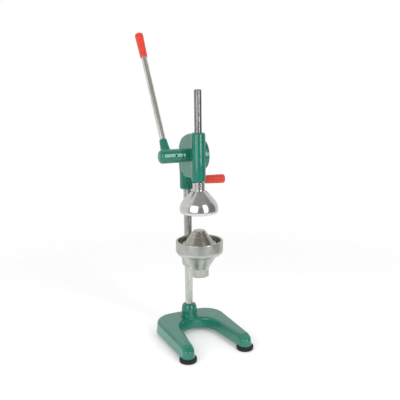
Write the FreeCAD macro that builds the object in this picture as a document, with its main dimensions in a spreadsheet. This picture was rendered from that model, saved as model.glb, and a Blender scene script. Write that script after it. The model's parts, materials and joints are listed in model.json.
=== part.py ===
"""Upright lever citrus press: horseshoe stand, geared head, bell, bowl and strainer.

Millimetres, +Z up.  The origin is the point on the floor under the press axis, the line
that the rack, the bell, the strainer and the spout share.  The front is -Y, the column
stands behind the press axis at +Y and the lever is on the left, at -X.
"""
import FreeCAD, Part
import math
import os
import Sketcher

Vector = FreeCAD.Vector
Rotation = FreeCAD.Rotation
Placement = FreeCAD.Placement
AXIS_X = Vector(1, 0, 0)
AXIS_Y = Vector(0, 1, 0)
AXIS_Z = Vector(0, 0, 1)

# Driving dimensions: alias, value.  Heights are above the floor, widths from the press axis.
DIMENSIONS = {
    # stand
    "throat": 76.2,
    "foot_height": 12.0,
    "front_foot_radius": 22.6,
    "rear_foot_radius": 16.0,
    "front_foot_side": 82.3,
    "front_foot_forward": 104.5,
    "rear_foot_side": 62.0,
    "rear_foot_back": 97.0,
    "base_top": 41.5,
    "base_tip_radius": 18.3,
    "base_half_width": 103.0,
    "base_arch_radius": 51.0,
    "base_rear": 123.0,
    "base_corner_radius": 61.0,
    "base_wall": 7.0,
    "base_draft": 7.0,
    "base_edge_round": 8.0,
    "toe_start": 98.0,
    "toe_drop": 13.0,
    "foot_boss_radius": 13.0,
    "collar_radius": 22.3,
    "collar_foot_radius": 23.8,
    "collar_foot_top": 47.0,
    "collar_mouth_chamfer": 2.2,
    "collar_mouth_radius": 15.0,
    "collar_shoulder": 60.0,
    "collar_top": 79.0,
    "column_radius": 11.1,
    "column_chamfer": 1.0,
    "column_tap_depth": 34.0,
    "column_bottom": 30.0,
    "column_top": 462.0,
    "column_floor": 24.0,
    "column_bolt_radius": 6.0,
    "bolt_recess_radius": 15.0,
    "seat_clearance": 0.05,
    "foot_screw_radius": 2.5,
    "foot_screw_depth": 14.0,
    "foot_recess": 6.0,
    # head
    "head_half_width": 17.0,
    "head_top": 569.0,
    "head_edge_round": 6.0,
    "tube_radius": 18.8,
    "tube_bottom": 445.0,
    "tube_top": 572.0,
    "tube_edge_round": 6.5,
    "sleeve_radius": 20.7,
    "sleeve_bottom": 412.0,
    "sleeve_top": 458.0,
    "sleeve_edge_round": 5.0,
    "gear_behind": 35.75,
    "gear_height": 510.0,
    "drum_radius": 41.5,
    "drum_face": 27.0,
    "cover_face": 30.5,
    "cover_cap": 2.5,
    "cavity_radius": 33.0,
    "cavity_half_width": 11.5,
    "cover_screw_circle": 36.3,
    "cover_screw_radius": 1.6,
    "cover_screw_depth": 10.0,
    "cover_countersink": 1.2,
    "boss_radius": 18.0,
    "ring_edge_round": 1.2,
    "boss_end": 36.4,
    "bush_radius": 11.0,
    # drive
    "shaft_radius": 8.0,
    "shaft_clearance": 0.05,
    "gear_module": 2.5,
    "gear_teeth": 23,
    "gear_half_width": 9.0,
    "gear_backlash": 0.2,
    "pressure_angle": 20.0,
    "rack_radius": 9.525,
    "rack_chamfer": 2.0,
    "rack_cut_width": 40.0,
    "rack_clearance": 0.075,
    "rack_pitch_line": 7.0,
    "rack_bottom": 424.0,
    "rack_top": 681.0,
    "rack_teeth": 23,
    "key_side": 5.0,
    # lever
    "hub_radius": 18.5,
    "hub_left": 95.5,
    "hub_right": 37.0,
    "lever_side": 74.2,
    "lever_lean": 31.4,
    "lever_boss_root": 14.0,
    "lever_boss_mouth": 10.2,
    "lever_boss_length": 48.0,
    "lever_rod_radius": 7.94,
    "socket_blend": 6.0,
    "lever_rod_start": 24.0,
    "lever_length": 376.0,
    "grip_length": 76.0,
    "grip_root_radius": 9.9,
    "grip_end_radius": 11.8,
    "hub_screw_side": 54.0,
    "hub_screw_radius": 3.0,
    # clamp handle
    "handle_height": 435.5,
    "handle_swing": 12.0,
    "handle_length": 105.5,
    "handle_boss_end": 32.0,
    "handle_boss_radius": 11.0,
    "handle_stud_radius": 5.0,
    "handle_rod_radius": 6.35,
    "handle_root_radius": 11.5,
    "handle_end_radius": 12.5,
    "handle_grip_start": 36.0,
    # bell
    "bell_radius": 51.3,
    "bell_rim": 361.0,
    "bell_wide": 369.0,
    "bell_shoulder": 421.0,
    "bell_neck_radius": 16.5,
    "bell_neck_top": 441.5,
    # bowl
    "bowl_radius": 63.3,
    "bowl_inner_radius": 57.2,
    "bowl_rim": 285.0,
    "bowl_ledge": 264.5,
    "bowl_ledge_radius": 51.0,
    "funnel_top": 246.0,
    "spout_radius": 24.8,
    "spout_bore": 20.5,
    "spout_top": 206.0,
    "spout_bottom": 185.5,
    "holder_radius": 19.5,
    "holder_web_width": 16.0,
    "holder_bottom": 194.0,
    "holder_top": 276.0,
    # strainer
    "strainer_radius": 56.9,
    "strainer_plate": 2.5,
    "strainer_top": 312.0,
    "strainer_top_radius": 15.0,
    "strainer_hole_radius": 1.6,
    "strainer_hole_circle": 48.6,
    "strainer_holes": 40,
}

doc = FreeCAD.newDocument("citrus_press")
sheet = doc.addObject("Spreadsheet::Sheet", "sizes")
for row, (alias, value) in enumerate(DIMENSIONS.items(), start=1):
    sheet.set(f"A{row}", alias)
    sheet.set(f"B{row}", str(value))
    sheet.setAlias(f"B{row}", alias)
doc.recompute()


class Size:
    """A length worked out from the sheet: the expression to bind and its value now."""

    def __init__(self, text, value):
        self.text = text
        self.value = float(value)

    def _join(self, sign, other, value):
        return Size(f"({self.text} {sign} {as_size(other).text})", value)

    def __add__(self, other):
        return self._join("+", other, self.value + as_size(other).value)

    def __sub__(self, other):
        return self._join("-", other, self.value - as_size(other).value)

    def __mul__(self, other):
        return self._join("*", other, self.value * as_size(other).value)

    def __truediv__(self, other):
        return self._join("/", other, self.value / as_size(other).value)

    def __neg__(self):
        return Size(f"(0 - {self.text})", -self.value)


def as_size(value):
    return value if isinstance(value, Size) else Size(str(float(value)), value)


def cell(alias):
    """The sheet's cell with this alias, as a Size."""
    return Size(f"sizes.{alias}", sheet.get(alias))


S = {alias: cell(alias) for alias in DIMENSIONS}
nodes = []


def bind(thing, prop, size):
    thing.setExpression(prop, as_size(size).text)


def place(thing, x=0, y=0, z=0, axis=None, degrees=0):
    """Place a sub-part, with its position and turn bound to the sheet."""
    rotation = Rotation(axis, as_size(degrees).value) if axis is not None else Rotation()
    base = Vector(as_size(x).value, as_size(y).value, as_size(z).value)
    thing.Placement = Placement(base, rotation)
    for letter, size in (("x", x), ("y", y), ("z", z)):
        if isinstance(size, Size):
            bind(thing, f"Placement.Base.{letter}", size)
    if isinstance(degrees, Size):
        thing.setExpression("Placement.Rotation.Angle", f"{degrees.text} * 1deg")


def new_body(name):
    body = doc.addObject("PartDesign::Body", name)
    body.Label = name
    nodes.append(body)
    return body


def origin_feature(body, role):
    return next(item for item in body.Origin.OriginFeatures if item.Role == role)


def new_sketch(body, name, role, lift=0):
    """A sketch on one of the body's origin planes, lifted along the plane's normal."""
    sketch = body.newObject("Sketcher::SketchObject", name)
    sketch.AttachmentSupport = (origin_feature(body, role), "")
    sketch.MapMode = "FlatFace"
    sketch.AttachmentOffset = Placement(Vector(0, 0, as_size(lift).value), Rotation())
    if isinstance(lift, Size):
        bind(sketch, "AttachmentOffset.Base.z", lift)
    return sketch


def tilted_sketch(body, name, role, shift, axis, degrees):
    """A sketch on an origin plane, shifted along its own x axis and then turned."""
    sketch = body.newObject("Sketcher::SketchObject", name)
    sketch.AttachmentSupport = (origin_feature(body, role), "")
    sketch.MapMode = "FlatFace"
    base = Vector(shift.value, 0, 0)
    sketch.AttachmentOffset = Placement(base, Rotation(axis, degrees.value))
    bind(sketch, "AttachmentOffset.Base.x", shift)
    sketch.setExpression("AttachmentOffset.Rotation.Angle", f"{degrees.text} * 1deg")
    return sketch


def pin_point(sketch, geometry, end, x, y):
    """Fix a point of a sketch at bound coordinates."""
    for kind, size, axis in (("DistanceX", as_size(x), -2), ("DistanceY", as_size(y), -1)):
        if abs(size.value) < 1e-9:
            sketch.addConstraint(Sketcher.Constraint("PointOnObject", geometry, end, axis))
            continue
        index = sketch.addConstraint(
            Sketcher.Constraint(kind, -1, 1, geometry, end, size.value)
        )
        bind(sketch, f"Constraints[{index}]", size)


def pin_radius(sketch, geometry, radius):
    index = sketch.addConstraint(Sketcher.Constraint("Radius", geometry, as_size(radius).value))
    bind(sketch, f"Constraints[{index}]", radius)


def circle(sketch, radius, x=0, y=0):
    centre = Vector(as_size(x).value, as_size(y).value, 0)
    geometry = sketch.addGeometry(Part.Circle(centre, AXIS_Z, as_size(radius).value))
    pin_point(sketch, geometry, 3, x, y)
    pin_radius(sketch, geometry, radius)


def arc_between(start, end, radius, left):
    """The short arc from start to end that turns left or right, and its start's end number."""
    chord = end - start
    rise = math.sqrt(max(radius**2 - (chord.Length / 2) ** 2, 0))
    normal = Vector(-chord.y, chord.x, 0).normalize() * (rise if left else -rise)
    centre = (start + end) / 2 + normal
    first, last = (start, end) if left else (end, start)
    first_angle = math.atan2(first.y - centre.y, first.x - centre.x)
    last_angle = math.atan2(last.y - centre.y, last.x - centre.x)
    if last_angle < first_angle:
        last_angle += 2 * math.pi
    arc = Part.ArcOfCircle(Part.Circle(centre, AXIS_Z, radius), first_angle, last_angle)
    return arc, 1 if left else 2


def outline(sketch, corners):
    """A closed outline.  A corner is (x, y) before a straight side, or (x, y, radius, turn)
    before an arc of that radius that turns "left" or "right"."""
    points = [Vector(as_size(c[0]).value, as_size(c[1]).value, 0) for c in corners]
    ends = []
    for index, corner in enumerate(corners):
        start = points[index]
        end = points[(index + 1) % len(points)]
        if len(corner) == 2:
            geometry = sketch.addGeometry(Part.LineSegment(start, end))
            ends.append((geometry, 1, 2))
        else:
            arc, start_end = arc_between(start, end, as_size(corner[2]).value, corner[3] == "left")
            geometry = sketch.addGeometry(arc)
            ends.append((geometry, start_end, 3 - start_end))
    for index, (geometry, _, finish) in enumerate(ends):
        following, start, _ = ends[(index + 1) % len(ends)]
        sketch.addConstraint(
            Sketcher.Constraint("Coincident", geometry, finish, following, start)
        )
    for corner, (geometry, start, _) in zip(corners, ends):
        pin_point(sketch, geometry, start, corner[0], corner[1])
        if len(corner) > 2:
            pin_radius(sketch, geometry, corner[2])


def feature(body, kind, name, sketch=None):
    item = body.newObject(f"PartDesign::{kind}", name)
    if sketch is not None:
        item.Profile = sketch
    return item


def pad(body, name, sketch, length, both_ways=False, back=False):
    item = feature(body, "Pad", name, sketch)
    bind(item, "Length", length)
    item.Midplane = both_ways
    item.Reversed = back
    return item


def pocket(body, name, sketch, length=None, back=False):
    """Cut a pocket of this length, or right through, and make sure that it removed something."""
    before = body.Shape.Volume
    item = feature(body, "Pocket", name, sketch)
    if length is None:
        item.Type = "ThroughAll"
    else:
        bind(item, "Length", length)
    item.Reversed = back
    doc.recompute()
    if not item.Shape.Volume < before - 1e-3:
        raise RuntimeError(f"{name} cuts nothing")
    return item


def turned(body, name, corners, role="Z_Axis", cut=False):
    """Turn an outline in the XZ plane about one of its axes."""
    sketch = new_sketch(body, f"{name}_outline", "XZ_Plane")
    outline(sketch, corners)
    item = feature(body, "Groove" if cut else "Revolution", name, sketch)
    item.ReferenceAxis = (origin_feature(body, role), [""])
    item.Angle = 360
    return item


def turned_on_column(body, name, corners):
    """Turn an outline about the column's axis.  Its corners are in the YZ plane."""
    throat = S["throat"]
    sketch = new_sketch(body, f"{name}_outline", "YZ_Plane")
    outline(sketch, corners)
    axis = new_sketch(body, f"{name}_axis", "YZ_Plane")
    line = axis.addGeometry(
        Part.LineSegment(Vector(throat.value, 0, 0), Vector(throat.value, 100, 0))
    )
    pin_point(axis, line, 1, throat, 0)
    pin_point(axis, line, 2, throat, 100)
    item = feature(body, "Revolution", name, sketch)
    item.ReferenceAxis = (axis, ["Edge1"])
    item.Angle = 360
    doc.recompute()
    return item


def polar(body, name, originals, count, role="Z_Axis"):
    item = body.newObject("PartDesign::PolarPattern", name)
    item.Originals = originals
    item.Axis = (origin_feature(body, role), [""])
    item.Angle = 360
    bind(item, "Occurrences", count)
    body.Tip = item
    return item


def round_edges(body, name, base, radius, wanted, kind="Fillet"):
    """Fillet or chamfer the edges of base that pass the test."""
    doc.recompute()
    picked = [f"Edge{i}" for i, edge in enumerate(base.Shape.Edges, 1) if wanted(edge)]
    if not picked:
        raise RuntimeError(f"{name} finds no edge")
    item = body.newObject(f"PartDesign::{kind}", name)
    item.Base = (base, picked)
    bind(item, "Radius" if kind == "Fillet" else "Size", radius)
    doc.recompute()
    return item


def is_circle(edge):
    try:
        return isinstance(edge.Curve, Part.Circle)
    except TypeError:
        # a blend can leave an edge of a kind that has no curve class
        return False


def circle_edge(edge, radius, axis, position, tolerance=0.05):
    """Whether an edge is a full circle of this radius with its centre there along an axis."""
    if len(edge.Vertexes) > 1 or not is_circle(edge):
        return False
    if abs(edge.Curve.Radius - radius) > tolerance:
        return False
    return abs(edge.Curve.Center.dot(axis) - position) < tolerance


def rod(name, radius, length):
    """A plain round bar along +Z."""
    bar = doc.addObject("Part::Cylinder", name)
    bar.Label = name
    bind(bar, "Radius", radius)
    bind(bar, "Height", length)
    nodes.append(bar)
    return bar


def ring(name, outer, inner, length):
    """A washer or bush along +Z."""
    body = new_body(name)
    sketch = new_sketch(body, f"{name}_face", "XY_Plane")
    circle(sketch, outer)
    circle(sketch, inner)
    pad(body, f"{name}_pad", sketch, length)
    return body


def hexagon_corners(reach, height):
    """A closed hexagon round the Z axis, with its corners this far from the axis."""
    turns = [math.radians(angle) for angle in range(0, 361, 60)]
    return [Vector(reach * math.cos(turn), reach * math.sin(turn), height) for turn in turns]


def socket_screw(radius, length, head_radius, head_height, socket):
    """A hexagon-socket screw with its head on top, its shank down -Z and its seat at z 0.
    A head radius of 0 makes a headless set screw whose top is at z 0."""
    shank = Part.makeCylinder(radius, length, Vector(0, 0, -length))
    top = 0
    if head_radius:
        shank = shank.fuse(Part.makeCylinder(head_radius, head_height)).removeSplitter()
        top = head_height
    depth = max(radius, head_height * 0.6)
    hexagon = Part.Face(Part.makePolygon(hexagon_corners(socket, top)))
    recess = hexagon.extrude(Vector(0, 0, -depth))
    return shank.cut(recess)


def flat_head_screw(radius, length, head_radius):
    """A countersunk socket screw, its flat top at z 0 and its shank down -Z."""
    head_height = head_radius - radius
    head = Part.makeCone(radius, head_radius, head_height, Vector(0, 0, -head_height))
    shank = Part.makeCylinder(radius, length, Vector(0, 0, -length))
    hexagon = Part.Face(Part.makePolygon(hexagon_corners(radius * 0.7, 0)))
    recess = hexagon.extrude(Vector(0, 0, -head_height))
    return shank.fuse(head).removeSplitter().cut(recess)


def fastener_group(name, shape, places):
    """Identical fasteners as separate solids in one node."""
    solids = []
    for placement in places:
        one = shape.copy()
        one.Placement = placement
        solids.append(one)
    group = doc.addObject("Part::Feature", name)
    group.Label = name
    group.Shape = solids[0] if len(solids) == 1 else Part.makeCompound(solids)
    nodes.append(group)
    return group


# ---------------------------------------------------------------- stand


def horseshoe(sketch, inset):
    """The base's outline drawn inset from its wall: an arch, two legs and a rounded back."""
    arch = S["base_arch_radius"] + inset
    tip = S["base_tip_radius"] - inset
    corner = S["base_corner_radius"] - inset
    rear = S["base_rear"] - inset
    side = S["front_foot_side"]
    forward = -S["front_foot_forward"]
    half = S["base_half_width"] - inset
    # the straight inner side touches the arch and the tip circle on opposite sides
    reach = math.hypot(side.value, forward.value)
    slope = math.atan2(forward.value, side.value)
    turn = slope + math.acos((arch.value + tip.value) / reach)
    touch_arch = Vector(math.cos(turn), math.sin(turn), 0) * arch.value
    foot = Vector(side.value, forward.value, 0)
    touch_tip = foot - Vector(math.cos(turn), math.sin(turn), 0) * tip.value
    corner_x = half - corner
    corner_y = rear - corner
    # the straight outer side touches the tip circle and the corner circle on the same side
    rear_corner = Vector(corner_x.value, corner_y.value, 0)
    across = rear_corner - foot
    reach = math.atan2(across.y, across.x)
    lean = reach - math.acos((tip - corner).value / across.Length)
    outward = Vector(math.cos(lean), math.sin(lean), 0)
    tip_touch = foot + outward * tip.value
    corner_touch = rear_corner + outward * corner.value
    add = sketch.addGeometry

    def mirror(point):
        return Vector(-point.x, point.y, 0)

    def arc(centre, radius, start, end):
        return add(Part.ArcOfCircle(Part.Circle(centre, AXIS_Z, radius), start, end))

    arch_arc = arc(Vector(0, 0, 0), arch.value, turn, math.pi - turn)
    right_inner = add(Part.LineSegment(touch_tip, touch_arch))
    right_tip = arc(foot, tip.value, turn + math.pi, 2 * math.pi + lean)
    right_side = add(Part.LineSegment(tip_touch, corner_touch))
    right_corner = arc(rear_corner, corner.value, lean, math.pi / 2)
    back_end = Vector(corner_x.value, rear.value, 0)
    back = add(Part.LineSegment(back_end, mirror(back_end)))
    left_corner = arc(mirror(rear_corner), corner.value, math.pi / 2, math.pi - lean)
    left_side = add(Part.LineSegment(mirror(corner_touch), mirror(tip_touch)))
    left_tip = arc(mirror(foot), tip.value, math.pi - lean, 2 * math.pi - turn)
    left_inner = add(Part.LineSegment(mirror(touch_tip), mirror(touch_arch)))
    joins = (
        (arch_arc, 1, right_inner, 2),
        (right_inner, 1, right_tip, 1),
        (right_tip, 2, right_side, 1),
        (right_side, 2, right_corner, 1),
        (right_corner, 2, back, 1),
        (back, 2, left_corner, 1),
        (left_corner, 2, left_side, 1),
        (left_side, 2, left_tip, 1),
        (left_tip, 2, left_inner, 1),
        (left_inner, 2, arch_arc, 2),
    )
    for join in joins:
        sketch.addConstraint(Sketcher.Constraint("Tangent", *join))
    pin_point(sketch, arch_arc, 3, 0, 0)
    pin_radius(sketch, arch_arc, arch)
    for tip_arc, sign in ((right_tip, 1), (left_tip, -1)):
        pin_point(sketch, tip_arc, 3, side * sign, forward)
        pin_radius(sketch, tip_arc, tip)
    for corner_arc, sign in ((right_corner, 1), (left_corner, -1)):
        pin_point(sketch, corner_arc, 3, corner_x * sign, corner_y)
        pin_radius(sketch, corner_arc, corner)


def foot_places():
    """Each foot: name, x, y and radius."""
    front = (S["front_foot_side"], -S["front_foot_forward"], S["front_foot_radius"])
    rear = (S["rear_foot_side"], S["rear_foot_back"], S["rear_foot_radius"])
    for end, (side, along, radius) in (("front", front), ("rear", rear)):
        yield f"foot_{end}_left", -side, along, radius
        yield f"foot_{end}_right", side, along, radius


def make_base():
    """Cast horseshoe base, hollow underneath, with foot bosses and the column's collar."""
    body = new_body("base_casting")
    underside = S["foot_height"]
    roof = S["base_top"] - S["base_wall"]
    shape = new_sketch(body, "base_outline", "XY_Plane", underside)
    horseshoe(shape, as_size(0))
    slab = pad(body, "base_slab", shape, S["base_top"] - underside)
    slab.TaperAngle = -sheet.get("base_draft")
    slab.setExpression("TaperAngle", "-sizes.base_draft * 1deg")
    hollow = new_sketch(body, "base_hollow_outline", "XY_Plane", underside)
    horseshoe(hollow, S["base_wall"])
    doc.recompute()
    pocket(body, "base_hollow", hollow, roof - underside, back=True)
    bosses = new_sketch(body, "foot_boss_circles", "XY_Plane", underside)
    for _, x, y, _ in foot_places():
        circle(bosses, S["foot_boss_radius"], x, y)
    pad(body, "foot_bosses", bosses, roof - underside + 1)
    # the end of each leg slopes down to its toe
    toe = new_sketch(body, "toe_outline", "YZ_Plane")
    beyond = S["front_foot_forward"] + S["base_tip_radius"] + 5
    outline(
        toe,
        (
            (-S["toe_start"], S["base_top"]),
            (-beyond, S["base_top"] - S["toe_drop"]),
            (-beyond, S["base_top"] + 5),
            (-S["toe_start"], S["base_top"] + 5),
        ),
    )
    doc.recompute()
    toes = pocket(body, "toe_slope", toe)
    toes.Midplane = True
    lowest = (S["base_top"] - S["toe_drop"] - 1).value
    roof_height = roof.value

    def rim_edge(edge):
        heights = [vertex.Point.z for vertex in edge.Vertexes]
        on_roof = all(abs(height - roof_height) < 0.01 for height in heights)
        return min(heights) > lowest and not on_roof

    round_edges(body, "base_edge", toes, S["base_edge_round"], rim_edge)
    throat = S["throat"]
    wall = S["collar_radius"]
    foot = S["collar_foot_radius"]
    boss = new_sketch(body, "collar_root_circle", "XY_Plane", underside)
    circle(boss, wall - 1.5, 0, throat)
    pad(body, "collar_root", boss, S["base_top"] - underside)
    turned_on_column(
        body,
        "collar",
        (
            (throat, S["base_top"] - 12),
            (throat + wall - 2, S["base_top"] - 12),
            (throat + foot, S["base_top"] - 3),
            (throat + foot, S["collar_foot_top"], 2.6, "left"),
            (throat + wall, S["collar_foot_top"] + 2.5),
            (throat + wall, S["collar_shoulder"], 40.0, "left"),
            (throat + wall - 3.1, S["collar_top"] - 3.5, 5.7, "left"),
            (throat + S["collar_mouth_radius"], S["collar_top"]),
            (throat, S["collar_top"]),
        ),
    )
    counterbore = new_sketch(body, "bolt_recess_circle", "XY_Plane", underside)
    circle(counterbore, S["bolt_recess_radius"], 0, throat)
    pocket(body, "bolt_recess", counterbore, S["column_floor"] - underside, back=True)
    bolt_hole = new_sketch(body, "bolt_hole_circle", "XY_Plane", underside)
    circle(bolt_hole, S["column_bolt_radius"] + 0.5, 0, throat)
    pocket(body, "bolt_hole", bolt_hole, S["column_bottom"] - underside, back=True)
    socket = new_sketch(body, "column_socket_circle", "XY_Plane", S["column_bottom"])
    bore = S["column_radius"] + S["seat_clearance"]
    circle(socket, bore, 0, throat)
    mouth = pocket(body, "column_socket", socket, back=True)
    round_edges(
        body,
        "collar_mouth",
        mouth,
        S["collar_mouth_chamfer"],
        lambda e: circle_edge(e, bore.value, AXIS_Z, sheet.get("collar_top")),
        "Chamfer",
    )
    tapped = new_sketch(body, "foot_screw_circles", "XY_Plane", underside)
    for _, x, y, _ in foot_places():
        circle(tapped, S["foot_screw_radius"], x, y)
    pocket(body, "foot_screw_holes", tapped, S["foot_screw_depth"], back=True)


def make_feet():
    """Rubber feet with a recessed screw, one washer each, and the screws that hold them."""
    recess = sheet.get("foot_recess")
    recess_radius = 7.0
    screw_radius = sheet.get("foot_screw_radius")
    hole_radius = screw_radius + 0.5
    tread_round = 3.5
    top_round = 2.5
    washer_thick = 1.2
    screws = []
    washers = []
    for name, x, y, radius in foot_places():
        body = new_body(name)
        height = S["foot_height"]
        turned(
            body,
            f"{name}_turn",
            (
                (hole_radius, S["foot_recess"]),
                (recess_radius, S["foot_recess"]),
                (recess_radius, 0),
                (radius - tread_round, 0, tread_round, "left"),
                (radius, tread_round),
                (radius, height - top_round, top_round, "left"),
                (radius - top_round, height),
                (hole_radius, height),
            ),
        )
        place(body, x, y)
        spot = Vector(x.value, y.value, recess - washer_thick)
        washers.append(Placement(spot, Rotation()))
        screws.append(Placement(spot, Rotation(AXIS_X, 180)))
    washer = Part.makeCylinder(recess_radius - 0.5, washer_thick)
    washer = washer.cut(Part.makeCylinder(screw_radius + 0.1, washer_thick))
    fastener_group("foot_washers", washer, washers)
    fastener_group("foot_screws", socket_screw(screw_radius, 18.0, 4.3, 2.8, 1.5), screws)


def make_column():
    """Bright steel column, with the bolt and washer that hold it from beneath."""
    body = new_body("column")
    length = S["column_top"] - S["column_bottom"]
    face = new_sketch(body, "column_section", "XY_Plane")
    circle(face, S["column_radius"])
    bar = pad(body, "column_bar", face, length)
    doc.recompute()

    def end_rim(edge):
        return len(edge.Vertexes) == 1 and is_circle(edge)

    round_edges(body, "column_ends", bar, S["column_chamfer"], end_rim, "Chamfer")
    tapped = new_sketch(body, "column_tapped_circle", "XY_Plane")
    circle(tapped, S["column_bolt_radius"])
    pocket(body, "column_tapped_hole", tapped, S["column_tap_depth"], back=True)
    place(body, 0, S["throat"], S["column_bottom"])
    washer_thick = 2.5
    washer = ring("column_washer", 12.0, 6.5, washer_thick)
    place(washer, 0, S["throat"], S["column_floor"] - washer_thick)
    radius = sheet.get("column_bolt_radius")
    seat = sheet.get("column_floor") - washer_thick
    head_height = 7.5
    hexagon = Part.Face(Part.makePolygon(hexagon_corners(10.4, -head_height)))
    head = hexagon.extrude(Vector(0, 0, head_height))
    bolt = head.fuse(Part.makeCylinder(radius, 36.0)).removeSplitter()
    spot = Placement(Vector(0, sheet.get("throat"), seat), Rotation())
    fastener_group("column_bolt", bolt, [spot])


# ---------------------------------------------------------------- head


def make_head():
    """Cast head: rack tube, flat gear housing, round drum, bearing boss and column sleeve."""
    body = new_body("head_casting")
    behind = S["gear_behind"]
    height = S["gear_height"]
    throat = S["throat"]
    back = throat + S["sleeve_radius"]
    web = new_sketch(body, "housing_outline", "YZ_Plane")
    outline(
        web,
        (
            (0, S["tube_bottom"] + 6),
            (throat, S["tube_bottom"] + 2),
            (back - 3, S["sleeve_top"] - 6),
            (back + 0.5, height - 30, 90, "left"),
            (back - 1.5, height + 17, 50, "left"),
            (throat - 10, S["head_top"] - 11.5, 150, "left"),
            (0, S["head_top"]),
        ),
    )
    housing = pad(body, "housing", web, S["head_half_width"] * 2, both_ways=True)
    doc.recompute()
    half = sheet.get("head_half_width")

    def housing_rim(edge):
        on_face = all(abs(abs(v.Point.x) - half) < 0.01 for v in edge.Vertexes)
        centre = edge.CenterOfMass
        return on_face and abs(abs(centre.x) - half) < 0.01 and centre.y > 20

    round_edges(body, "housing_rim", housing, S["head_edge_round"], housing_rim)
    tube = new_sketch(body, "tube_circle", "XY_Plane", S["tube_bottom"])
    circle(tube, S["tube_radius"])
    pad(body, "tube", tube, S["tube_top"] - S["tube_bottom"])
    sleeve = new_sketch(body, "sleeve_circle", "XY_Plane", S["sleeve_bottom"])
    circle(sleeve, S["sleeve_radius"], 0, throat)
    pad(body, "sleeve", sleeve, S["sleeve_top"] - S["sleeve_bottom"])
    drum = new_sketch(body, "drum_circle", "YZ_Plane")
    circle(drum, S["drum_radius"], behind, height)
    last = pad(body, "drum", drum, S["drum_face"])
    doc.recompute()
    tube_r = sheet.get("tube_radius")
    last = round_edges(
        body,
        "tube_rim",
        last,
        S["tube_edge_round"],
        lambda e: circle_edge(e, tube_r, AXIS_Z, sheet.get("tube_top")),
    )
    sleeve_r = sheet.get("sleeve_radius")
    round_edges(
        body,
        "sleeve_rim",
        last,
        S["sleeve_edge_round"],
        lambda e: circle_edge(e, sleeve_r, AXIS_Z, sheet.get("sleeve_bottom")),
    )
    outer_start = 24.5
    outer_end = 34.2
    inner_end = 22.8
    inner_step = 0.6
    for name, start, end, radius in (
        ("bearing_boss", 0, S["boss_end"], S["boss_radius"] - 2.4),
        ("bearing_ring_outer", outer_start, outer_end, S["boss_radius"]),
        ("bearing_ring_inner", 0, inner_end, S["boss_radius"] - inner_step),
    ):
        boss = new_sketch(body, f"{name}_circle", "YZ_Plane", -as_size(start))
        circle(boss, radius, behind, height)
        last = pad(body, name, boss, as_size(end) - start, back=True)
    doc.recompute()
    ring_r = sheet.get("boss_radius")
    round_edges(
        body,
        "bearing_ring_edges",
        last,
        S["ring_edge_round"],
        lambda e: circle_edge(e, ring_r, AXIS_X, -outer_end)
        or circle_edge(e, ring_r, AXIS_X, -outer_start)
        or circle_edge(e, ring_r - inner_step, AXIS_X, -inner_end),
    )
    # the clamp boss points out of the sleeve to the right and a little forward
    swing = -S["handle_swing"]
    clamp = tilted_sketch(body, "clamp_boss_circle", "YZ_Plane", throat, AXIS_Y, swing)
    circle(clamp, S["handle_boss_radius"], 0, S["handle_height"])
    pad(body, "clamp_boss", clamp, S["handle_boss_end"])
    rack_bore = new_sketch(body, "rack_bore_circle", "XY_Plane", S["tube_bottom"] - 1)
    circle(rack_bore, S["rack_radius"] + S["rack_clearance"])
    pocket(body, "rack_bore", rack_bore, back=True)
    column_bore = new_sketch(body, "column_bore_circle", "XY_Plane", S["sleeve_bottom"] - 1)
    circle(column_bore, S["column_radius"] + S["seat_clearance"], 0, throat)
    pocket(body, "column_bore", column_bore, S["column_top"] - S["sleeve_bottom"] + 1, back=True)
    cavity = new_sketch(body, "cavity_circle", "YZ_Plane", -S["cavity_half_width"])
    circle(cavity, S["cavity_radius"], behind, height)
    pocket(body, "gear_cavity", cavity, S["cavity_half_width"] + S["drum_face"] + 1, back=True)
    bush = new_sketch(body, "left_bush_circle", "YZ_Plane", -S["boss_end"] - 1)
    circle(bush, S["bush_radius"], behind, height)
    pocket(body, "left_bush_bore", bush, S["boss_end"] + 1, back=True)
    screws = new_sketch(body, "cover_screw_circles", "YZ_Plane", S["drum_face"])
    for x, y in cover_screw_spots():
        circle(screws, S["cover_screw_radius"], behind + x, height + y)
    pocket(body, "cover_screw_holes", screws, S["cover_screw_depth"])
    stud = tilted_sketch(body, "clamp_stud_circle", "YZ_Plane", throat, AXIS_Y, swing)
    circle(stud, S["handle_stud_radius"] + S["seat_clearance"], 0, S["handle_height"])
    pocket(body, "clamp_stud_hole", stud, S["handle_boss_end"] + 1, back=True)


def cover_screw_spots():
    """Six screws on a circle, as offsets from the gear's axis."""
    reach = sheet.get("cover_screw_circle")
    for number in range(6):
        angle = math.radians(30 + 60 * number)
        yield reach * math.cos(angle), reach * math.sin(angle)


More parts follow.
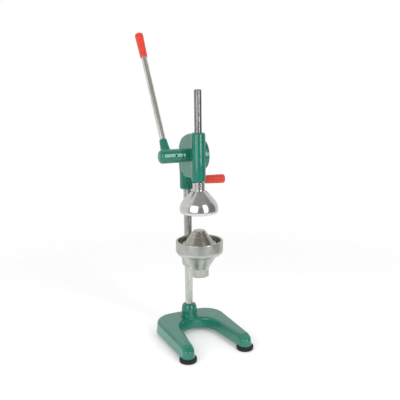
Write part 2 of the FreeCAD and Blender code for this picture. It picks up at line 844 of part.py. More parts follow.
def make_cover():
    """Round cover that closes the gear housing and carries the right bush."""
    body = new_body("gear_cover")
    inner = S["cavity_half_width"]
    face = S["cover_face"]
    flange = S["drum_face"]
    bush = S["bush_radius"]
    cap = S["cover_cap"]
    rim_round = 1.8
    spigot = S["cavity_radius"] - S["seat_clearance"]
    turned(
        body,
        "cover_turn",
        (
            (inner, bush),
            (face - cap, bush),
            (face - cap, 0),
            (face, 0),
            (face, S["drum_radius"] - rim_round, rim_round, "right"),
            (face - rim_round, S["drum_radius"]),
            (flange, S["drum_radius"]),
            (flange, spigot),
            (inner, spigot),
            (inner, spigot - 5),
            (flange - 3, spigot - 5),
            (flange - 3, bush + 4),
            (inner, bush + 4),
        ),
        "X_Axis",
    )
    doc.recompute()
    holes = new_sketch(body, "cover_hole_circles", "YZ_Plane", face + 1)
    for x, y in cover_screw_spots():
        circle(holes, S["cover_screw_radius"] + 0.1, x, y)
    sinks = pocket(body, "cover_holes", holes, face)
    hole = sheet.get("cover_screw_radius") + 0.1
    round_edges(
        body,
        "cover_countersinks",
        sinks,
        S["cover_countersink"],
        lambda e: circle_edge(e, hole, AXIS_X, sheet.get("cover_face")),
        "Chamfer",
    )
    place(body, 0, S["gear_behind"], S["gear_height"])
    screw = flat_head_screw(sheet.get("cover_screw_radius"), 12.0, hole + 1.1)
    places = []
    for x, y in cover_screw_spots():
        spot = Vector(
            sheet.get("cover_face"), sheet.get("gear_behind") + x, sheet.get("gear_height") + y
        )
        places.append(Placement(spot, Rotation(AXIS_Y, 90)))
    fastener_group("cover_screws", screw, places)


def make_bushes():
    """Bronze bushes for the pinion shaft, one in the boss and one in the cover."""
    inner = S["shaft_radius"] + S["shaft_clearance"]
    lengths = {
        "shaft_bush_left": (-S["boss_end"], S["boss_end"] - S["cavity_half_width"]),
        "shaft_bush_right": (
            S["cavity_half_width"],
            S["cover_face"] - S["cover_cap"] - S["cavity_half_width"],
        ),
    }
    for name, (start, length) in lengths.items():
        bush = ring(name, S["bush_radius"], inner, length)
        place(bush, start, S["gear_behind"], S["gear_height"], AXIS_Y, 90)


# ---------------------------------------------------------------- drive


def make_pinion():
    """Spur pinion with involute teeth, a bore and a keyway.  A tooth points at the rack."""
    module = sheet.get("gear_module")
    teeth = int(sheet.get("gear_teeth"))
    pitch = module * teeth / 2
    tip = pitch + module
    root = pitch - 1.25 * module
    base = pitch * math.cos(math.radians(sheet.get("pressure_angle")))
    half_tooth = math.pi / (2 * teeth) - sheet.get("gear_backlash") / (4 * pitch)
    at_pitch = math.tan(math.acos(base / pitch)) - math.acos(base / pitch)

    def flank(radius):
        """Half the tooth's angle at this radius, from the involute of the base circle."""
        turn = math.acos(min(base / radius, 1.0))
        return half_tooth + at_pitch - (math.tan(turn) - turn)

    def on(radius, angle):
        return Vector(radius * math.cos(angle), radius * math.sin(angle), 0)

    body = new_body("pinion_gear")
    blank = new_sketch(body, "pinion_blank_circle", "YZ_Plane", -S["gear_half_width"])
    circle(blank, S["gear_module"] * S["gear_teeth"] / 2 + S["gear_module"])
    circle(blank, S["shaft_radius"] + 0.01)
    pad(body, "pinion_blank", blank, S["gear_half_width"] * 2)
    doc.recompute()
    # one space, between the tooth at -Y and the next one
    space = math.pi + math.pi / teeth
    half_space = math.pi / teeth
    beyond = tip + 1.0
    gap = new_sketch(body, "tooth_space", "YZ_Plane", S["gear_half_width"] + 1)
    low = [on(r, space - half_space + flank(r)) for r in (base, (base + tip) / 2, tip)]
    high = [on(r, space + half_space - flank(r)) for r in (tip, (base + tip) / 2, base)]
    root_low = on(root, space - half_space + flank(base))
    root_high = on(root, space + half_space - flank(base))
    outer_low = on(beyond, space - half_space + flank(tip))
    outer_high = on(beyond, space + half_space - flank(tip))
    gap.addGeometry(Part.Arc(root_low, on(root, space), root_high))
    gap.addGeometry(Part.LineSegment(root_high, high[2]))
    gap.addGeometry(Part.Arc(high[2], high[1], high[0]))
    gap.addGeometry(Part.LineSegment(high[0], outer_high))
    gap.addGeometry(Part.LineSegment(outer_high, outer_low))
    gap.addGeometry(Part.LineSegment(outer_low, low[2]))
    gap.addGeometry(Part.Arc(low[2], low[1], low[0]))
    gap.addGeometry(Part.LineSegment(low[0], root_low))
    cut = pocket(body, "tooth_gap", gap, S["gear_half_width"] * 2 + 2)
    polar(body, "tooth_gaps", [cut], S["gear_teeth"], "X_Axis")
    doc.recompute()
    keyway = new_sketch(body, "keyway_section", "YZ_Plane", S["gear_half_width"] + 1)
    half_key = S["key_side"] / 2
    seat = S["shaft_radius"] + half_key
    outline(
        keyway,
        ((-half_key, 0), (half_key, 0), (half_key, seat), (-half_key, seat)),
    )
    pocket(body, "keyway", keyway, S["gear_half_width"] * 2 + 2)
    place(body, 0, S["gear_behind"], S["gear_height"])


def make_shaft():
    """Pinion shaft with its key seat, key, retaining rings and thrust washers."""
    body = new_body("pinion_shaft")
    left = -S["hub_left"] + 12
    right = S["cover_face"] - 4
    ring_seat = S["gear_half_width"] + 0.02
    ring_end = S["gear_half_width"] + 1.2
    radius = S["shaft_radius"]
    groove = radius - 0.5
    turned(
        body,
        "shaft_turn",
        (
            (left, 0),
            (left, radius),
            (-ring_end, radius),
            (-ring_end, groove),
            (-ring_seat, groove),
            (-ring_seat, radius),
            (ring_seat, radius),
            (ring_seat, groove),
            (ring_end, groove),
            (ring_end, radius),
            (right, radius),
            (right, 0),
        ),
        "X_Axis",
    )
    doc.recompute()
    half_key = S["key_side"] / 2
    seat = new_sketch(body, "key_seat_section", "YZ_Plane", S["gear_half_width"] - 1)
    outline(
        seat,
        (
            (-half_key, radius - half_key),
            (half_key, radius - half_key),
            (half_key, radius + 1),
            (-half_key, radius + 1),
        ),
    )
    pocket(body, "key_seat", seat, S["gear_half_width"] * 2 - 2)
    place(body, 0, S["gear_behind"], S["gear_height"])

    key = doc.addObject("Part::Box", "pinion_key")
    key.Label = "pinion_key"
    bind(key, "Length", S["gear_half_width"] * 2 - 2.04)
    bind(key, "Width", S["key_side"])
    bind(key, "Height", S["key_side"])
    place(
        key,
        -S["gear_half_width"] + 1.02,
        S["gear_behind"] - half_key,
        S["gear_height"] + radius - half_key,
    )
    nodes.append(key)

    thick = 1.14
    clip_inner = sheet.get("shaft_radius") - 0.45
    clip = Part.makeCylinder(11.5, thick).cut(Part.makeCylinder(clip_inner, thick))
    gap = Part.makeBox(6, 14, thick, Vector(-3, 0, 0))
    clip = clip.cut(gap)
    washer_thick = 1.0
    washer_bore = sheet.get("shaft_radius") + 0.05
    washer = Part.makeCylinder(15.0, washer_thick).cut(
        Part.makeCylinder(washer_bore, washer_thick)
    )
    centre = Vector(0, sheet.get("gear_behind"), sheet.get("gear_height"))
    clips = []
    washers = []
    for side, turn in ((1, 90), (-1, -90)):
        clip_start = (sheet.get("gear_half_width") + 0.04) * side
        washer_start = (sheet.get("gear_half_width") + 1.2) * side
        clips.append(Placement(centre + Vector(clip_start, 0, 0), Rotation(AXIS_Y, turn)))
        washers.append(Placement(centre + Vector(washer_start, 0, 0), Rotation(AXIS_Y, turn)))
    fastener_group("retaining_rings", clip, clips)
    fastener_group("thrust_washers", washer, washers)


def make_rack():
    """Round steel rack with teeth cut in its back over the length that meets the pinion."""
    body = new_body("rack_rod")
    bar = new_sketch(body, "rack_section", "XY_Plane", S["rack_bottom"])
    circle(bar, S["rack_radius"])
    last = pad(body, "rack_bar", bar, S["rack_top"] - S["rack_bottom"])
    doc.recompute()
    rod_r = sheet.get("rack_radius")
    round_edges(
        body,
        "rack_point",
        last,
        S["rack_chamfer"],
        lambda e: circle_edge(e, rod_r, AXIS_Z, sheet.get("rack_top")),
        "Chamfer",
    )
    module = sheet.get("gear_module")
    slope = math.tan(math.radians(sheet.get("pressure_angle")))
    pitch_line = sheet.get("rack_pitch_line")
    half_space = math.pi * module / 4 + sheet.get("gear_backlash") / 4
    root = pitch_line - 1.25 * module
    clear = rod_r + 1.0
    half_root = half_space - (pitch_line - root) * slope
    half_clear = half_space + (clear - pitch_line) * slope
    spaces_below = 3
    low = sheet.get("gear_height") - spaces_below * math.pi * module
    gap = new_sketch(body, "rack_space", "YZ_Plane", 20)
    corners = [
        Vector(root, low - half_root, 0),
        Vector(clear, low - half_clear, 0),
        Vector(clear, low + half_clear, 0),
        Vector(root, low + half_root, 0),
    ]
    for index, corner in enumerate(corners):
        gap.addGeometry(Part.LineSegment(corner, corners[(index + 1) % 4]))
    cut = pocket(body, "rack_gap", gap, S["rack_cut_width"])
    spread = body.newObject("PartDesign::LinearPattern", "rack_gaps")
    spread.Originals = [cut]
    spread.Direction = (origin_feature(body, "Z_Axis"), [""])
    count = int(sheet.get("rack_teeth"))
    spread.Length = math.pi * module * (count - 1)
    spread.setExpression("Length", "pi * sizes.gear_module * (sizes.rack_teeth - 1)")
    bind(spread, "Occurrences", S["rack_teeth"])
    body.Tip = spread
    doc.recompute()


# ---------------------------------------------------------------- lever


def make_lever():
    """Lever hub casting with its tapered socket, the bright lever rod and the vinyl grip."""
    body = new_body("lever_hub")
    left = -S["hub_left"] + S["lever_side"]
    right = -S["hub_right"] + S["lever_side"]
    radius = S["hub_radius"]
    end_round = 10.0
    turned(
        body,
        "hub_turn",
        (
            (left, 0),
            (left, radius - end_round, end_round, "right"),
            (left + end_round, radius),
            (right - 1, radius, 1.0, "right"),
            (right, radius - 1),
            (right, 0),
        ),
        "X_Axis",
    )
    doc.recompute()
    root = S["lever_boss_root"]
    mouth = S["lever_boss_mouth"]
    length = S["lever_boss_length"]
    turned(
        body,
        "lever_socket",
        (
            (0, 0),
            (root, 0),
            (mouth, length - 1.6, 1.6, "left"),
            (mouth - 1.6, length),
            (0, length),
        ),
    )
    doc.recompute()

    def socket_root(edge):
        box = edge.BoundBox
        on_hub = box.ZMin > 8 and box.ZMax < sheet.get("hub_radius") + 0.1
        return on_hub and edge.Length > 25 and box.XLength > 20 and box.YLength > 8

    round_edges(body, "socket_blend", body.Tip, S["socket_blend"], socket_root)
    bore = new_sketch(body, "lever_bore_circle", "XY_Plane", length)
    circle(bore, S["lever_rod_radius"] + 0.03)
    pocket(body, "lever_bore", bore, length - S["lever_rod_start"])
    shaft = new_sketch(body, "shaft_bore_circle", "YZ_Plane", right)
    circle(shaft, S["shaft_radius"] + 0.02)
    pocket(body, "shaft_bore", shaft, right - left - 12)
    screw_x = -S["hub_screw_side"] + S["lever_side"]
    look_up = 10.0
    facing = S["lever_lean"] + 90 - look_up
    hole = tilted_sketch(body, "hub_screw_circle", "XY_Plane", screw_x, AXIS_X, facing)
    circle(hole, S["hub_screw_radius"] + 0.02)
    pocket(body, "hub_screw_hole", hole, back=True)
    place(
        body, -S["lever_side"], S["gear_behind"], S["gear_height"], AXIS_X, -S["lever_lean"]
    )
    out = Rotation(AXIS_X, 90 - look_up)
    sunk = sheet.get("hub_radius") - 2.5
    spot = Vector(
        -sheet.get("hub_screw_side"), sheet.get("gear_behind"), sheet.get("gear_height")
    )
    spot = spot + out.multVec(Vector(0, 0, sunk))
    screw = socket_screw(sheet.get("hub_screw_radius"), 7.8, 0, 0, 1.7)
    fastener_group("hub_set_screw", screw, [Placement(spot, out)])

    bar = rod("lever_rod", S["lever_rod_radius"], S["lever_length"] - S["lever_rod_start"] - 5)
    reach = S["lever_rod_start"]
    lean = sheet.get("lever_lean")
    place(
        bar,
        -S["lever_side"],
        S["gear_behind"] + reach * math.sin(math.radians(lean)),
        S["gear_height"] + reach * math.cos(math.radians(lean)),
        AXIS_X,
        -S["lever_lean"],
    )

    grip = new_body("lever_grip")
    end = S["lever_length"]
    start = end - S["grip_length"]
    thick = S["grip_end_radius"]
    inner = S["lever_rod_radius"] + 0.01
    grip_profile(grip, "lever_grip_turn", start, end, S["grip_root_radius"], thick, inner)
    place(
        grip, -S["lever_side"], S["gear_behind"], S["gear_height"], AXIS_X, -S["lever_lean"]
    )


def grip_profile(body, name, start, end, root, thick, inner):
    """A vinyl sleeve, closed and rounded at its end, thicker there than at its root."""
    lip = 1.5
    crown = 6.0
    turned(
        body,
        name,
        (
            (inner, start),
            (root - lip, start, lip, "left"),
            (root, start + lip),
            (thick, end - crown, crown, "left"),
            (thick - crown, end),
            (0, end),
            (0, end - 4.9),
            (inner, end - 4.9),
        ),
    )


def make_clamp_handle():
    """Short red handle beside the head: its threaded stud clamps the head on the column."""
    swing = -S["handle_swing"]
    stud = new_body("handle_stud")
    tip = S["column_radius"] + 0.06
    thread = S["handle_stud_radius"]
    shoulder = S["handle_boss_end"] + 0.4
    bar = S["handle_rod_radius"]
    end = S["handle_length"] - 5
    turned(
        stud,
        "handle_stud_turn",
        (
            (tip, 0),
            (tip, thread),
            (shoulder, thread),
            (shoulder, bar),
            (end, bar),
            (end, 0),
        ),
        "X_Axis",
    )
    place(stud, 0, S["throat"], S["handle_height"], AXIS_Z, swing)
    grip = new_body("handle_grip")
    start = S["handle_grip_start"]
    length = S["handle_length"]
    root = S["handle_root_radius"]
    thick = S["handle_end_radius"]
    inner = bar + 0.01
    lip = 1.5
    crown = 6.0
    turned(
        grip,
        "handle_grip_turn",
        (
            (start, inner),
            (start, root - lip, lip, "right"),
            (start + lip, root),
            (length - crown, thick, crown, "right"),
            (length, thick - crown),
            (length, 0),
            (length - 4.9, 0),
            (length - 4.9, inner),
        ),
        "X_Axis",
    )
    place(grip, 0, S["throat"], S["handle_height"], AXIS_Z, swing)


# ---------------------------------------------------------------- cups


def make_bell():
    """Polished bell that presses the fruit, with a neck that takes the rack's lower end."""
    body = new_body("press_bell")
    rim = S["bell_rim"]
    wide = S["bell_wide"]
    shoulder = S["bell_shoulder"]
    neck = S["bell_neck_radius"]
    outer = S["bell_radius"]
    turned(
        body,
        "bell_turn",
        (
            (0, S["rack_bottom"]),
            (0, shoulder - 4.5),
            (9.0, shoulder - 4.5, 9.0, "right"),
            (15.5, shoulder - 7.5),
            (36.5, rim + 31.5, 26.0, "right"),
            (46.8, wide + 2),
            (outer - 6.2, rim),
            (outer - 3.4, rim, 2.0, "left"),
            (outer - 1.6, rim + 1.6, 16.0, "left"),
            (outer, wide, 38.0, "left"),
            (41.0, shoulder - 25.5, 250.0, "left"),
            (neck + 2.8, shoulder - 2.0, 3.4, "right"),
            (neck, shoulder + 0.8),
            (neck, S["bell_neck_top"] - 1.0, 1.0, "left"),
            (neck - 1.0, S["bell_neck_top"]),
            (S["rack_radius"] + 0.02, S["bell_neck_top"]),
            (S["rack_radius"] + 0.02, S["rack_bottom"]),
        ),
    )
    doc.recompute()
    hole = new_sketch(body, "bell_screw_circle", "XZ_Plane")
    height = S["bell_neck_top"] - 9
    circle(hole, 2.5, 0, height)
    pocket(body, "bell_screw_hole", hole, S["bell_neck_radius"] + 1)
    spot = Vector(0, sheet.get("bell_neck_radius") - 1.2, height.value)
    screw = socket_screw(2.48, 5.7, 0, 0, 1.4)
    fastener_group("bell_set_screw", screw, [Placement(spot, Rotation(AXIS_X, -90))])


def make_bowl():
    """Cast juice bowl with a deep rim band, funnel, spout and the sleeve on the column."""
    body = new_body("bowl_casting")
    rim = S["bowl_rim"]
    outer = S["bowl_radius"]
    inner = S["bowl_inner_radius"]
    funnel = S["funnel_top"]
    spout = S["spout_radius"]
    bore = S["spout_bore"]
    bottom = S["spout_bottom"]
    throat = S["throat"]
    low = S["holder_bottom"]
    holder = S["holder_radius"]
    turned_on_column(
        body,
        "holder",
        (
            (throat, low),
            (throat + holder - 4.5, low, 3.0, "left"),
            (throat + holder - 2.4, low + 3.0),
            (throat + holder, low + 26),
            (throat + holder, S["holder_top"] - 2, 2.0, "left"),
            (throat + holder - 2, S["holder_top"]),
            (throat, S["holder_top"]),
        ),
    )
    # a web ties the sleeve to the funnel's wall and the rim band
    web = new_sketch(body, "holder_web_outline", "YZ_Plane")
    outline(
        web,
        (
            (spout + 1.7, S["spout_top"] + 8),
            (throat - 12, low + 9),
            (throat - 12, rim - 13),
            (inner - 2, S["bowl_ledge"] - 3),
            (inner - 3, funnel + 8),
            (45.5, funnel),
        ),
    )
    pad(body, "holder_web", web, S["holder_web_width"], both_ways=True)
    doc.recompute()
    turned(
        body,
        "bowl_turn",
        (
            (bore, bottom + 1.0, 1.0, "left"),
            (bore + 1.0, bottom),
            (spout - 2.5, bottom, 2.5, "left"),
            (spout, bottom + 2.5),
            (spout, S["spout_top"], 5.0, "right"),
            (spout + 1.7, S["spout_top"] + 4),
            (47.0, funnel - 1.5, 2.5, "right"),
            (49.5, funnel),
            (outer - 9.0, funnel, 15.0, "left"),
            (outer, funnel + 13.0),
            (outer, rim - 2.2, 2.2, "left"),
            (outer - 2.2, rim),
            (inner + 1.2, rim, 1.2, "left"),
            (inner, rim - 1.2),
            (inner, S["bowl_ledge"]),
            (S["bowl_ledge_radius"], S["bowl_ledge"]),
            (S["bowl_ledge_radius"], funnel + 9, 10.0, "right"),
            (44.0, funnel + 1.5),
            (bore + 2.0, S["spout_top"] + 3, 8.0, "left"),
            (bore, S["spout_top"] - 2),
        ),
    )
    doc.recompute()
    # the sleeve and its web end flush with the bowl's inner wall
    well = new_sketch(body, "bowl_well_circle", "XY_Plane", S["bowl_ledge"])
    circle(well, inner)
    pocket(body, "bowl_well", well, rim - S["bowl_ledge"] + 1, back=True)
    socket = new_sketch(body, "holder_bore_circle", "XY_Plane", S["holder_bottom"] - 1)
    circle(socket, S["column_radius"] + 0.04, 0, S["throat"])
    pocket(body, "holder_bore", socket, back=True)
    height = S["holder_bottom"] + 24
    hole = new_sketch(body, "holder_screw_circle", "XZ_Plane", -S["throat"])
    circle(hole, 3.0, 0, height)
    pocket(body, "holder_screw_hole", hole, S["holder_radius"] + 4)
    back = sheet.get("throat") + sheet.get("column_radius") + 0.06
    length = 8.0
    spot = Vector(0, back + length, height.value)
    screw = socket_screw(2.98, length, 0, 0, 1.7)
    fastener_group("bowl_set_screw", screw, [Placement(spot, Rotation(AXIS_X, -90))])


def make_strainer():
    """Loose strainer: a cone with a flat top, in a gutter plate with a ring of holes."""
    body = new_body("strainer_cone")
    plate = S["strainer_plate"]
    seat = S["bowl_ledge"]
    top = S["strainer_top"]
    crown = S["strainer_top_radius"]
    turned(
        body,
        "strainer_turn",
        (
            (0, top - plate),
            (crown - 2.6, top - plate),
            (37.5, seat + 13.5, 12.0, "right"),
            (43.5, seat),
            (S["strainer_radius"] - 0.8, seat, 0.8, "left"),
            (S["strainer_radius"], seat + 0.8),
            (S["strainer_radius"], seat + plate),
            (46.5, seat + plate, 8.0, "left"),
            (39.5, seat + plate + 12.3),
            (crown + 1.0, top - 1.4, 2.0, "left"),
            (crown - 0.8, top),
            (0, top),
        ),
    )
    doc.recompute()
    gutter = new_sketch(body, "gutter_hole", "XY_Plane", seat - 1)
    circle(gutter, S["strainer_hole_radius"], 0, S["strainer_hole_circle"])
    cut = pocket(body, "gutter_hole_cut", gutter, plate + 2, back=True)
    polar(body, "gutter_holes", [cut], S["strainer_holes"])
    doc.recompute()


def build():
    make_base()
    make_feet()
    make_column()
    make_head()
    make_cover()
    make_bushes()
    make_pinion()
    make_shaft()
    make_rack()
    make_lever()
    make_clamp_handle()
    make_bell()
    make_bowl()
    make_strainer()
    doc.recompute()


def check():
    """Every object has computed, and every sub-part is a valid solid or group of solids."""
    broken = [o.Name for o in doc.Objects if {"Invalid", "Error"} & set(o.State)]
    for node in nodes:
        shape = node.Shape
        if shape.isNull() or not shape.isValid() or not shape.Solids:
            broken.append(node.Label)
    if broken:
        raise RuntimeError(f"not built: {broken}")


def write():
    os.makedirs("parts", exist_ok=True)
    for node in nodes:
        node.Shape.exportStep(f"parts/{node.Label}.step")
        print(f"{node.Label:20s} {node.Shape.Volume / 1000:9.2f} cm3, {len(node.Shape.Solids)}")


build()
check()
write()
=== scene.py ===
"""Looks of the citrus press juicer: materials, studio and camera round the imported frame."""
import json
import math

import bpy
from mathutils import Matrix, Vector

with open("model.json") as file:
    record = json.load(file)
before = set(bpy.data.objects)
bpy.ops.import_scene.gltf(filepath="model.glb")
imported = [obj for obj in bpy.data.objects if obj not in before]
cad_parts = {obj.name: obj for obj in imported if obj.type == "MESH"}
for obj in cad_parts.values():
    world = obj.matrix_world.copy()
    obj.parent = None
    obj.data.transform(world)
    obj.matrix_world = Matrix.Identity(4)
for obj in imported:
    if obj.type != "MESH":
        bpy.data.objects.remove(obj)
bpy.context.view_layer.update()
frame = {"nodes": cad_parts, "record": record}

# ---------------------------------------------------------------- dimensions, metres and degrees

CAMERA_PLACE = (-0.6194, -1.3788, 0.7065)
CAMERA_AZIMUTH = -24.3
CAMERA_ELEVATION = 11.68
CAMERA_ROLL = -0.66
CAMERA_LENS = 52.66
SENSOR_WIDTH = 36.0

LEVER_LEAN = math.radians(31.4)
HANDLE_SWING = math.radians(12.0)
UPRIGHT = (0, 0, 1)
ALONG_LEVER = (0, math.sin(LEVER_LEAN), math.cos(LEVER_LEAN))
ALONG_HANDLE = (math.cos(HANDLE_SWING), -math.sin(HANDLE_SWING), 0)

FLOOR_REACH = 1.25
FLOOR_FADE = 0.35
FLOOR_SIDES = 96
FLOOR_WHITE = (0.95, 0.95, 0.95, 1)
FLOOR_GLOW = 0.16

# the room that the metal mirrors: brightness of its walls, and of its open front low down
# and overhead
ROOM_WHITE = 0.80
ROOM_DARK = 0.21
ROOM_GREY = 0.36
# where one part of the room blends into the next: the front's edges as cosines of the
# angle from straight ahead, the table and the ceiling as sines of the angle above level
ROOM_FRONT = (0, -1, 0)
ROOM_OPENING = (-0.10, 0.12)
ROOM_TABLE = (-0.42, -0.30)
ROOM_CEILING = (0.60, 0.90)

# ---------------------------------------------------------------- node helpers


class Nodes:
    """A node tree and short ways to add and join its nodes."""

    def __init__(self, tree, coordinates):
        self.tree = tree
        self.coordinates = tree.nodes.new("ShaderNodeTexCoord").outputs[coordinates]

    def put(self, socket, value):
        """Set a socket, or join an output to it."""
        if isinstance(value, bpy.types.NodeSocket):
            self.tree.links.new(value, socket)
        else:
            socket.default_value = value

    def node(self, kind, settings=(), **inputs):
        made = self.tree.nodes.new(f"ShaderNode{kind}")
        for name, value in dict(settings).items():
            setattr(made, name, value)
        for name, value in inputs.items():
            self.put(made.inputs[name.replace("_", " ")], value)
        return made

    def remap(self, value, low, high, to_low, to_high):
        made = self.node("MapRange")
        for socket, number in zip(made.inputs, (value, low, high, to_low, to_high)):
            self.put(socket, number)
        return made.outputs["Result"]

    def math(self, operation, first, second):
        made = self.node("Math", {"operation": operation})
        self.put(made.inputs[0], first)
        self.put(made.inputs[1], second)
        return made.outputs[0]

    def vector(self, operation, *values):
        made = self.node("VectorMath", {"operation": operation})
        for socket, value in zip(made.inputs, values):
            self.put(socket, value)
        return made.outputs["Value" if operation in ("DOT_PRODUCT", "LENGTH") else "Vector"]


class Shader(Nodes):
    """A material, its nodes, and the patterns that the finishes are made from."""

    def __init__(self, name):
        self.material = bpy.data.materials.new(name)
        self.material.use_nodes = True
        super().__init__(self.material.node_tree, "Object")
        self.surface = self.tree.nodes["Principled BSDF"]

    def set(self, **inputs):
        """Set the surface's own sockets."""
        for name, value in inputs.items():
            self.put(self.surface.inputs[name.replace("_", " ")], value)

    def stretched(self, scale, place=None):
        """The coordinates scaled along each axis."""
        made = self.node("Mapping", {"vector_type": "POINT"}, Scale=scale)
        self.put(made.inputs["Vector"], place or self.coordinates)
        return made.outputs["Vector"]

    def lying(self, axis):
        """The coordinates turned so that their Z runs along an axis."""
        turn = Vector(UPRIGHT).rotation_difference(Vector(axis)).inverted().to_euler()
        made = self.node("Mapping", {"vector_type": "POINT"}, Vector=self.coordinates, Rotation=turn)
        return made.outputs["Vector"]

    def turned(self):
        """Coordinates that change only along and away from the press axis, for turning marks."""
        along = self.vector("DOT_PRODUCT", self.coordinates, UPRIGHT)
        away = self.vector("LENGTH", self.vector("CROSS_PRODUCT", self.coordinates, UPRIGHT))
        return self.node("CombineXYZ", X=along, Y=away).outputs[0]

    def noise(self, scale, detail, roughness, place=None):
        made = self.node("TexNoise", Scale=scale, Detail=detail, Roughness=roughness)
        self.put(made.inputs["Vector"], place or self.coordinates)
        return made.outputs["Fac"]

    def mix(self, amount, first, second):
        """A blend from the first colour to the second."""
        made = self.node("Mix", {"data_type": "RGBA"}, Factor=amount)
        for index, colour in ((6, first), (7, second)):
            self.put(made.inputs[index], colour if isinstance(colour, bpy.types.NodeSocket) else (*colour, 1))
        return made.outputs[2]

    def bump(self, height, distance, after=None):
        made = self.node("Bump", Distance=distance, Height=height)
        if after is not None:
            self.put(made.inputs["Normal"], after)
        return made.outputs["Normal"]


# ---------------------------------------------------------------- materials


def green_enamel():
    """Glossy stove enamel on a sand casting."""
    shader = Shader("green_enamel")
    cast = shader.noise(260.0, 2.0, 0.4)
    peel = shader.noise(900.0, 2.0, 0.5)
    patches = shader.noise(35.0, 3.0, 0.5)
    light = (0.006, 0.190, 0.130)
    dark = (0.004, 0.150, 0.100)
    fleck = (0.022, 0.200, 0.145)
    tone = shader.mix(shader.remap(patches, 0.35, 0.65, 0.0, 1.0), dark, light)
    shader.set(
        Base_Color=shader.mix(shader.remap(peel, 0.4, 0.62, 0.0, 0.3), tone, fleck),
        Roughness=shader.remap(patches, 0.3, 0.7, 0.16, 0.26),
        Normal=shader.bump(peel, 0.00002, after=shader.bump(cast, 0.0001)),
        Specular_IOR_Level=0.25,
        Coat_Weight=0.8,
        Coat_Roughness=0.05,
    )
    return shader.material


def bright_steel(name, axis, light, dark):
    """Plated bar stock with drawing lines along it and faint cloudy patches."""
    shader = Shader(name)
    lines = shader.noise(1.0, 3.0, 0.6, shader.stretched((700.0, 700.0, 9.0), shader.lying(axis)))
    clouds = shader.noise(1.0, 4.0, 0.6, shader.stretched((90.0, 90.0, 40.0)))
    amount = shader.math("ADD", shader.math("MULTIPLY", lines, 0.6), shader.math("MULTIPLY", clouds, 0.4))
    shader.set(
        Base_Color=shader.mix(shader.remap(amount, 0.38, 0.62, 0.0, 1.0), light, dark),
        Metallic=1.0,
        Roughness=shader.remap(clouds, 0.3, 0.7, 0.16, 0.30),
        Normal=shader.bump(lines, 0.000015),
    )
    return shader.material


def rack_steel():
    """Ground and milled steel, lightly oiled."""
    shader = Shader("rack_steel")
    lines = shader.noise(1.0, 4.0, 0.6, shader.stretched((900.0, 900.0, 90.0)))
    clouds = shader.noise(90.0, 5.0, 0.65)
    light = (0.29, 0.29, 0.29)
    dark = (0.18, 0.18, 0.18)
    shader.set(
        Base_Color=shader.mix(shader.remap(clouds, 0.35, 0.7, 0.0, 1.0), light, dark),
        Metallic=1.0,
        Roughness=shader.remap(clouds, 0.3, 0.7, 0.24, 0.38),
        Normal=shader.bump(lines, 0.00002),
    )
    return shader.material


def turned_aluminium(name, light, dark):
    """Turned and polished casting with faint rings and tiny pits."""
    shader = Shader(name)
    rings = shader.turned()
    fine = shader.noise(1.0, 3.0, 0.6, shader.stretched((1800.0, 1800.0, 1.0), rings))
    wide = shader.noise(1.0, 2.0, 0.5, shader.stretched((160.0, 160.0, 1.0), rings))
    pits = shader.noise(1400.0, 2.0, 0.6)
    shader.set(
        Base_Color=shader.mix(shader.remap(wide, 0.3, 0.7, 0.0, 1.0), light, dark),
        Metallic=1.0,
        Roughness=shader.remap(pits, 0.35, 0.7, 0.15, 0.27),
        Normal=shader.bump(wide, 0.00004, after=shader.bump(fine, 0.000008)),
    )
    return shader.material


def cast_aluminium():
    """Satin tumbled casting with a fine sandy grain and faint stains."""
    shader = Shader("cast_aluminium")
    grain = shader.noise(800.0, 4.0, 0.7)
    lumps = shader.noise(110.0, 3.0, 0.5)
    stains = shader.noise(42.0, 4.0, 0.6)
    light = (0.58, 0.60, 0.57)
    dark = (0.47, 0.49, 0.46)
    stain = (0.40, 0.41, 0.36)
    grey = shader.mix(shader.remap(grain, 0.35, 0.65, 0.0, 1.0), dark, light)
    shader.set(
        Base_Color=shader.mix(shader.remap(stains, 0.42, 0.66, 0.0, 0.65), grey, stain),
        Metallic=1.0,
        Roughness=shader.remap(lumps, 0.3, 0.7, 0.28, 0.40),
        Normal=shader.bump(grain, 0.000008, after=shader.bump(lumps, 0.00015)),
    )
    return shader.material


def red_vinyl():
    """Dipped vinyl with a soft sheen and faint runs."""
    shader = Shader("red_vinyl")
    runs = shader.noise(140.0, 3.0, 0.5)
    fine = shader.noise(1500.0, 2.0, 0.5)
    deep = (0.70, 0.040, 0.022)
    bright = (0.84, 0.075, 0.045)
    shader.set(
        Base_Color=shader.mix(shader.remap(runs, 0.3, 0.7, 0.0, 1.0), deep, bright),
        Roughness=shader.remap(fine, 0.3, 0.7, 0.26, 0.40),
        Normal=shader.bump(fine, 0.00002, after=shader.bump(runs, 0.00008)),
        Specular_IOR_Level=0.3,
        Coat_Weight=0.25,
        Coat_Roughness=0.12,
    )
    return shader.material


def black_rubber():
    """Moulded rubber, nearly matt."""
    shader = Shader("black_rubber")
    fine = shader.noise(900.0, 3.0, 0.6)
    dark = (0.010, 0.010, 0.010)
    light = (0.022, 0.021, 0.020)
    shader.set(
        Base_Color=shader.mix(shader.remap(fine, 0.3, 0.7, 0.0, 1.0), dark, light),
        Roughness=shader.remap(fine, 0.3, 0.7, 0.45, 0.65),
        Specular_IOR_Level=0.2,
        Normal=shader.bump(fine, 0.00006),
    )
    return shader.material


def small_metal(name, light, dark, smooth, rough):
    """Hardware steel or bronze with a mottled surface."""
    shader = Shader(name)
    mottle = shader.noise(420.0, 4.0, 0.6)
    shader.set(
        Base_Color=shader.mix(shader.remap(mottle, 0.35, 0.65, 0.0, 1.0), light, dark),
        Metallic=1.0,
        Roughness=shader.remap(mottle, 0.3, 0.7, smooth, rough),
        Normal=shader.bump(mottle, 0.00004),
    )
    return shader.material


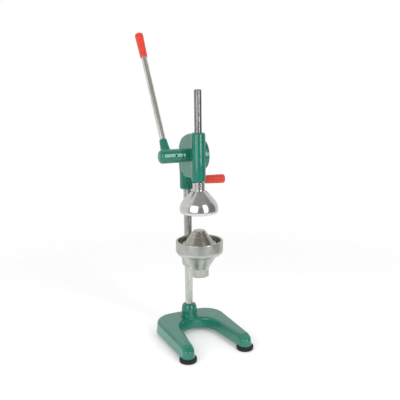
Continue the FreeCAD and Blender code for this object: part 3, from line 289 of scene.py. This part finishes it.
# one finish for each of the record's material slots
SLOT_MATERIALS = {
    "green_enamel": green_enamel(),
    "bright_steel": bright_steel("bright_steel", UPRIGHT, (0.62, 0.64, 0.61), (0.45, 0.47, 0.44)),
    "rack_steel": rack_steel(),
    "polished_aluminium": turned_aluminium("polished_aluminium", (0.72, 0.715, 0.70), (0.62, 0.615, 0.60)),
    "cast_aluminium": cast_aluminium(),
    "red_vinyl": red_vinyl(),
    "black_rubber": black_rubber(),
    "bronze": small_metal("bronze", (0.60, 0.40, 0.20), (0.45, 0.29, 0.13), 0.3, 0.5),
    "black_steel": small_metal("black_steel", (0.06, 0.06, 0.06), (0.03, 0.03, 0.03), 0.3, 0.5),
    "zinc_steel": small_metal("zinc_steel", (0.62, 0.63, 0.62), (0.48, 0.49, 0.48), 0.25, 0.42),
}

# nodes whose finish differs from others of the same slot: the bars that don't stand
# upright have their drawing lines along their own axes, and the cone is given a darker, yellower aluminium
NODE_MATERIALS = {
    "lever_rod": bright_steel("lever_steel", ALONG_LEVER, (0.96, 0.95, 0.90), (0.62, 0.61, 0.54)),
    "handle_stud": bright_steel("handle_steel", ALONG_HANDLE, (0.66, 0.67, 0.64), (0.50, 0.51, 0.48)),
    "strainer_cone": turned_aluminium("dark_cone_aluminium", (0.54, 0.52, 0.46), (0.40, 0.38, 0.32)),
}


def finish_cad_nodes():
    slots = {item["node"]: item["material_slot"] for item in frame["record"]["subparts"]}
    for name, piece in frame["nodes"].items():
        piece.data.materials.clear()
        piece.data.materials.append(NODE_MATERIALS.get(name, SLOT_MATERIALS[slots[name]]))


# ---------------------------------------------------------------- studio


def add_floor():
    """A round sheet of white paper that fades out before its edge."""
    mesh = bpy.data.meshes.new("floor")
    turns = [2 * math.pi * number / FLOOR_SIDES for number in range(FLOOR_SIDES)]
    rim = [(FLOOR_REACH * math.cos(turn), FLOOR_REACH * math.sin(turn), 0) for turn in turns]
    mesh.from_pydata(rim, [], [tuple(range(FLOOR_SIDES))])
    floor = bpy.data.objects.new("floor", mesh)
    bpy.context.scene.collection.objects.link(floor)
    shader = Shader("floor_paper")
    away = shader.vector("LENGTH", shader.coordinates)
    shader.set(
        Base_Color=FLOOR_WHITE,
        Roughness=0.9,
        Alpha=shader.remap(away, FLOOR_FADE, FLOOR_REACH, 1.0, 0.0),
        Emission_Color=(1, 1, 1, 1),
        Emission_Strength=FLOOR_GLOW,
    )
    mesh.materials.append(shader.material)


def add_softbox(name, place, aim, size, power, mirrored=True):
    """A square area light that points at a spot, seen in glossy pieces or not."""
    light = bpy.data.lights.new(name, "AREA")
    light.shape = "RECTANGLE"
    light.size, light.size_y = size
    light.energy = power
    lamp = bpy.data.objects.new(name, light)
    lamp.location = place
    lamp.rotation_euler = (Vector(aim) - Vector(place)).to_track_quat("-Z", "Y").to_euler()
    lamp.visible_glossy = mirrored
    bpy.context.scene.collection.objects.link(lamp)


def add_room():
    """A white room with a dark front above a white table. The camera sees only white."""
    world = bpy.data.worlds.new("room")
    world.use_nodes = True
    room = Nodes(world.node_tree, "Generated")
    level = room.vector("NORMALIZE", room.vector("MULTIPLY", room.coordinates, (1, 1, 0)))
    ahead = room.vector("DOT_PRODUCT", level, ROOM_FRONT)
    height = room.node("SeparateXYZ", Vector=room.coordinates).outputs["Z"]
    opening = room.remap(ahead, *ROOM_OPENING, 0.0, 1.0)
    above_table = room.remap(height, *ROOM_TABLE, 0.0, 1.0)
    front = room.remap(height, *ROOM_CEILING, ROOM_DARK, ROOM_GREY)
    in_front = room.math("MULTIPLY", opening, above_table)
    mirrored = room.remap(in_front, 0.0, 1.0, ROOM_WHITE, front)
    seen = room.node("LightPath").outputs["Is Camera Ray"]
    walls = world.node_tree.nodes["Background"]
    room.put(walls.inputs["Color"], (1, 1, 1, 1))
    room.put(walls.inputs["Strength"], room.remap(seen, 0.0, 1.0, mirrored, 1.0))
    bpy.context.scene.world = world


def add_camera():
    camera = bpy.data.objects.new("camera", bpy.data.cameras.new("camera"))
    camera.data.lens = CAMERA_LENS
    camera.data.sensor_width = SENSOR_WIDTH
    turn = Matrix.Rotation(math.radians(CAMERA_AZIMUTH), 4, "Z")
    tilt = Matrix.Rotation(math.radians(90 - CAMERA_ELEVATION), 4, "X")
    roll = Matrix.Rotation(math.radians(CAMERA_ROLL), 4, "Z")
    camera.matrix_world = Matrix.Translation(CAMERA_PLACE) @ turn @ tilt @ roll
    bpy.context.scene.collection.objects.link(camera)
    bpy.context.scene.camera = camera


finish_cad_nodes()
add_floor()
add_room()
add_softbox("overhead", place=(0, 0.1, 2.3), aim=(0, 0, 0), size=(1.8, 1.8), power=9.0, mirrored=False)
add_softbox("front_left", place=(-1.64, -1.15, 1.05), aim=(0, 0, 0.60), size=(1.70, 1.90), power=24.0)
add_softbox("front_right", place=(0.60, -1.85, 1.10), aim=(0, 0, 0.65), size=(0.60, 1.90), power=22.0)
add_camera()
bpy.context.scene.view_settings.view_transform = "Standard"
